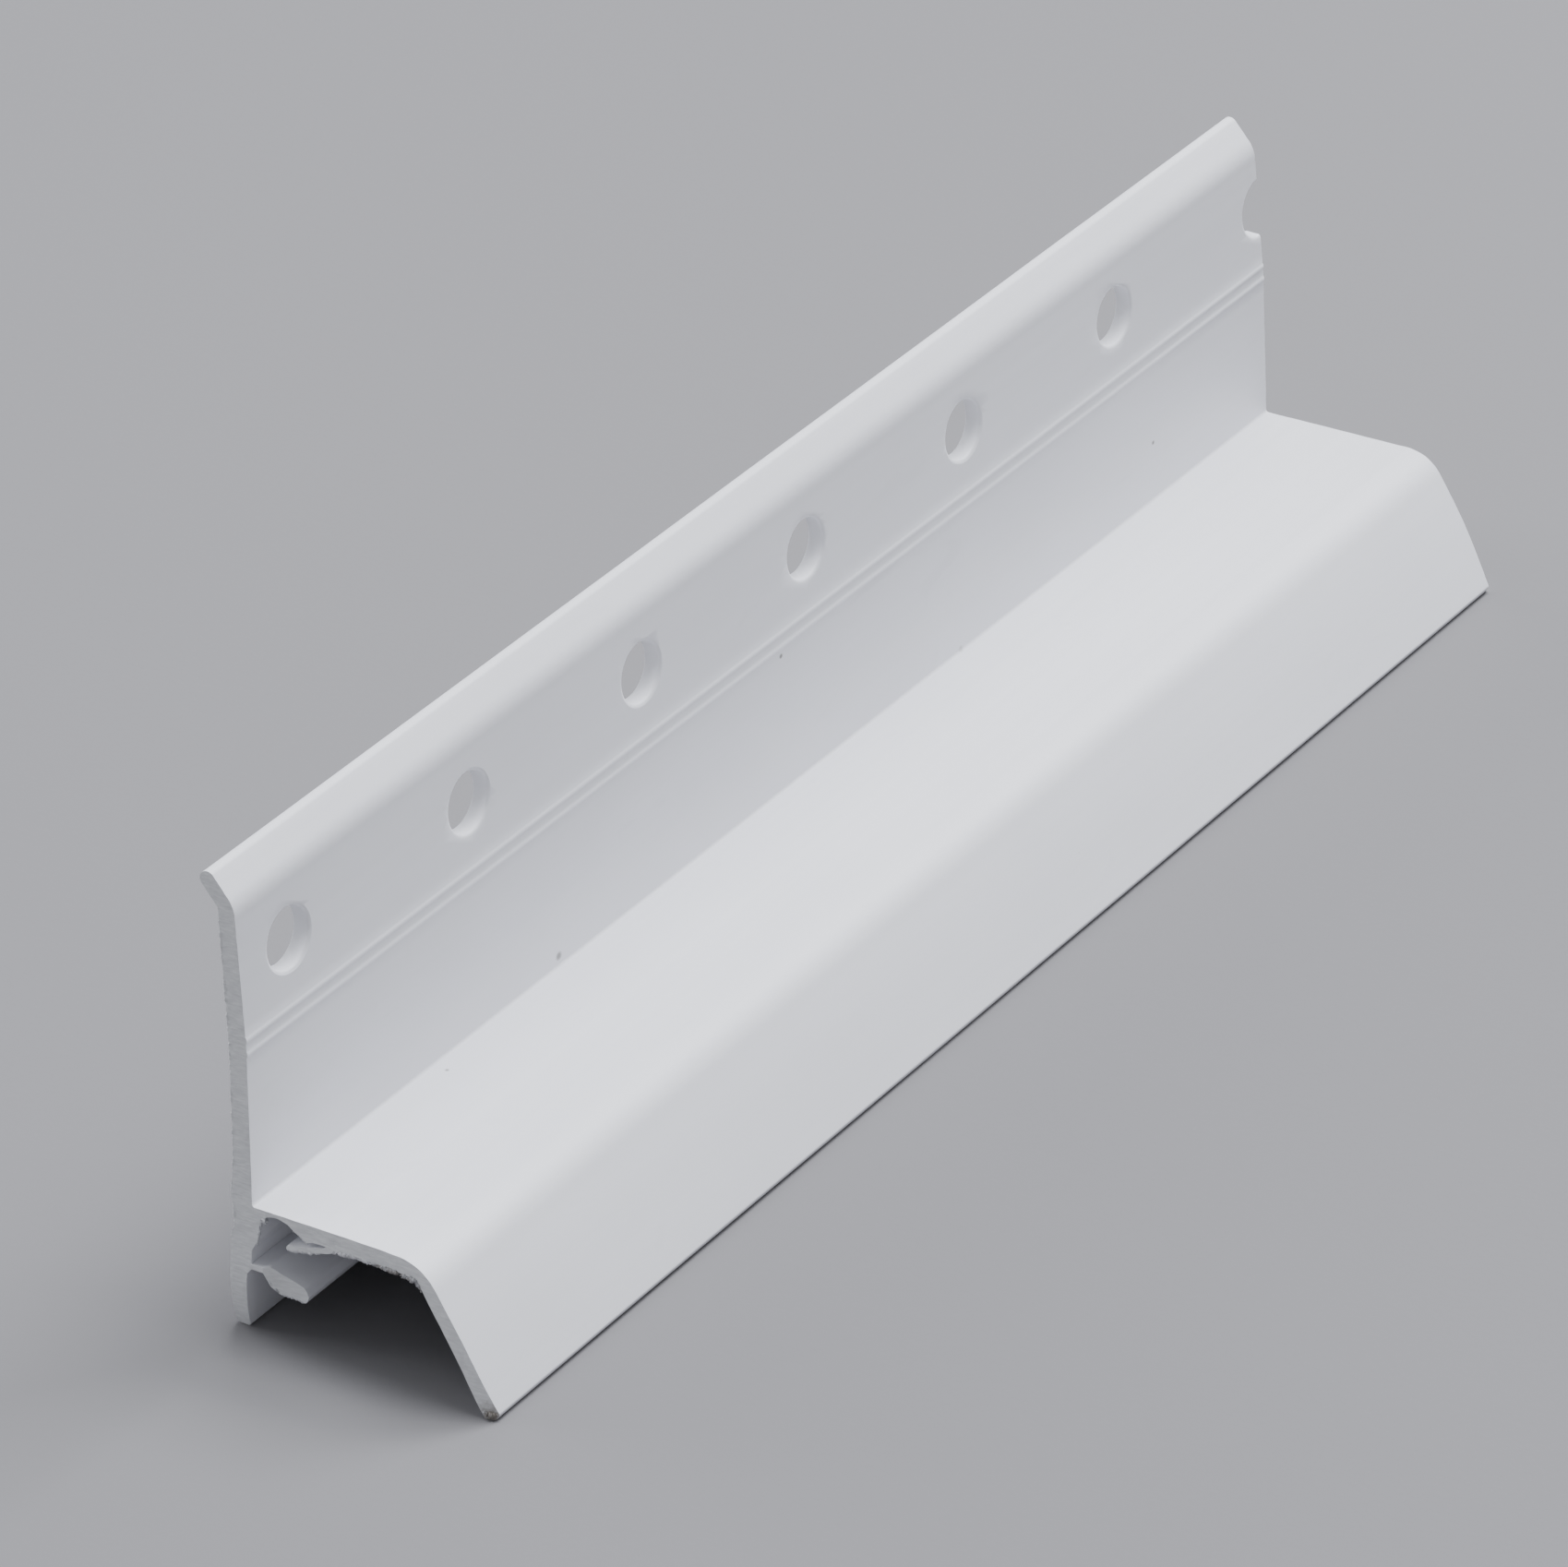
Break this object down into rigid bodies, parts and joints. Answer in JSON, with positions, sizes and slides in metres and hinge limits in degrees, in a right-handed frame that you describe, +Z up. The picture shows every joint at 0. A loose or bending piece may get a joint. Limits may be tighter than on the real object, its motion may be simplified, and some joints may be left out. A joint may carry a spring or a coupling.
{
  "type": "door sweep",
  "caption": "Flanged white plastic door sweep profile with a perforated fixing strip, a top sealing lip and a hinged drip hood over an empty strip socket.",
  "frame": {"origin": "middle of the bounding box, at the level of the surface that the foot and the hood's edge stand on", "axes": "+X along the profile, +Y toward the door, +Z up along the back plate"},
  "size_m": [0.1592, 0.028, 0.0427],
  "materials": {
    "rigid_pvc": "white rigid PVC, satin as extruded",
    "flexible_pvc": "white PVC, thin enough to flex, satin as extruded"
  },
  "bodies": {
    "plate": {"fixing_flange": "rigid_pvc", "back_plate": "rigid_pvc", "hood_web": "flexible_pvc", "shelf_web": "flexible_pvc"},
    "lip": {"top_lip": "flexible_pvc"},
    "hood": {"drip_hood": "rigid_pvc"},
    "tongue": {"hood_tongue": "flexible_pvc"},
    "shelf": {"retaining_shelf": "rigid_pvc"}
  },
  "joints": [
    {"name": "lip_flex", "type": "hinge", "parent": "plate", "child": "lip", "pos_m": [0, 0.01145, 0.03985], "axis": [1, 0, 0], "range_deg": [0, 30], "stiffness_Nm_per_rad": 0.2},
    {"name": "hood_flex", "type": "hinge", "parent": "plate", "child": "hood", "pos_m": [0, 0.0076, 0.01229], "axis": [-1, 0, 0], "range_deg": [-5, 20], "stiffness_Nm_per_rad": 1.6, "deforming": ["hood_web"]},
    {"name": "tongue_flex", "type": "hinge", "parent": "hood", "child": "tongue", "pos_m": [0, 0.0025, 0.01065], "axis": [1, 0, 0], "range_deg": [-6, 6], "stiffness_Nm_per_rad": 0.5},
    {"name": "shelf_flex", "type": "hinge", "parent": "plate", "child": "shelf", "pos_m": [0, 0.00973, 0.00671], "axis": [-1, 0, 0], "range_deg": [-10, 6], "stiffness_Nm_per_rad": 4.4, "deforming": ["shelf_web"]}
  ]
}
